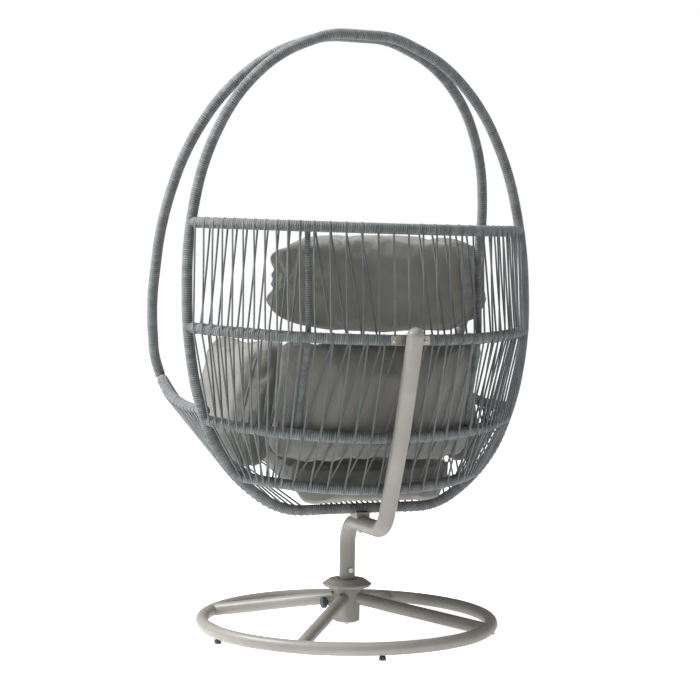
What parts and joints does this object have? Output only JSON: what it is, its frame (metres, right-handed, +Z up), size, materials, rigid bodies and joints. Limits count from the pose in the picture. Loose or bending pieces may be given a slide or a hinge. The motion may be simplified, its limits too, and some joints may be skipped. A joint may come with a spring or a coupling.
{
  "type": "swivel egg chair",
  "caption": "Egg-shaped lounge chair of cord-wound tube hoops and strung cord, with loose cushions, turning on a curved post over a round floor ring.",
  "frame": {"origin": "on the swivel axis at floor level, the middle of the underside of the whole box", "axes": "+Z up along the swivel axis, the sitter faces -Y, the curved post stands at +Y behind the basket, +X is the sitter's left"},
  "size_m": [0.9762, 0.8859, 1.582],
  "materials": {
    "powder_coat": "fine matt powder coat, warm grey",
    "frame_tube": "matt",
    "cord": "wound polyester cord, mid grey",
    "cushion_cloth": "plain weave outdoor cloth, light warm grey",
    "dark_plastic": "moulded, satin",
    "nylon": "machined",
    "steel": "bright zinc or stainless",
    "brass": "turned"
  },
  "bodies": {
    "base": {"ring_tube": "powder_coat", "spoke_1": "powder_coat", "spoke_2": "powder_coat", "spoke_3": "powder_coat", "spoke_4": "powder_coat", "hub_sleeve": "powder_coat", "hub_flange": "powder_coat", "upper_bush": "nylon", "lower_bush": "nylon", "foot_glides": "dark_plastic", "foot_screws": "steel", "knob_boss": "powder_coat"},
    "lock_pad": {"pressure_pad": "brass"},
    "lock_knob": {"lock_knob": "dark_plastic", "lock_stud": "steel"},
    "chair": {"spindle": "steel", "retaining_washer": "steel", "retaining_bolt": "steel", "s_post": "powder_coat", "post_cap": "powder_coat", "stub_bolt": "steel", "stub_nut": "steel", "run_bolt": "steel", "run_nut": "steel", "saddle": "powder_coat", "bracket_plate": "steel", "bracket_bolts": "steel", "back_hoop": "frame_tube", "back_hoop_wrap": "cord", "front_hoop": "frame_tube", "front_hoop_wrap": "cord", "seat_rim": "frame_tube", "seat_rim_wrap": "cord", "rail_top": "frame_tube", "rail_upper": "frame_tube", "rail_lower": "frame_tube", "rail_bottom": "frame_tube", "rail_wraps": "cord", "rib_left": "frame_tube", "rib_right": "frame_tube", "rib_wraps": "cord", "weave_top_left": "cord", "weave_top_rear": "cord", "weave_top_right": "cord", "weave_mid_left": "cord", "weave_mid_rear": "cord", "weave_mid_right": "cord", "weave_low_left": "cord", "weave_low_rear": "cord", "weave_low_right": "cord", "side_fan_left": "cord", "side_fan_right": "cord", "seat_webbing": "cord", "seat_cushion": "cushion_cloth", "back_cushion": "cushion_cloth", "head_cushion": "cushion_cloth", "arm_bolster_left": "cushion_cloth", "arm_bolster_right": "cushion_cloth"}
  },
  "joints": [
    {"name": "swivel", "type": "hinge", "parent": "base", "child": "chair", "pos_m": [0, 0, 0.126], "axis": [0, 0, 1], "continuous": true},
    {"name": "lock_slide", "type": "slide", "parent": "base", "child": "lock_pad", "axis": [-0.9962, 0.0872, 0], "range_m": [-0.0046, 0.00142]},
    {"name": "lock_turn", "type": "hinge", "parent": "lock_pad", "child": "lock_knob", "pos_m": [0.05977, -0.00523, 0.076], "axis": [-0.9962, 0.0872, 0], "range_deg": [-1080, 330]}
  ],
  "couplings": [
    {"joint": "lock_slide", "follows": "lock_turn", "m_per_rad": 0.00023873}
  ]
}
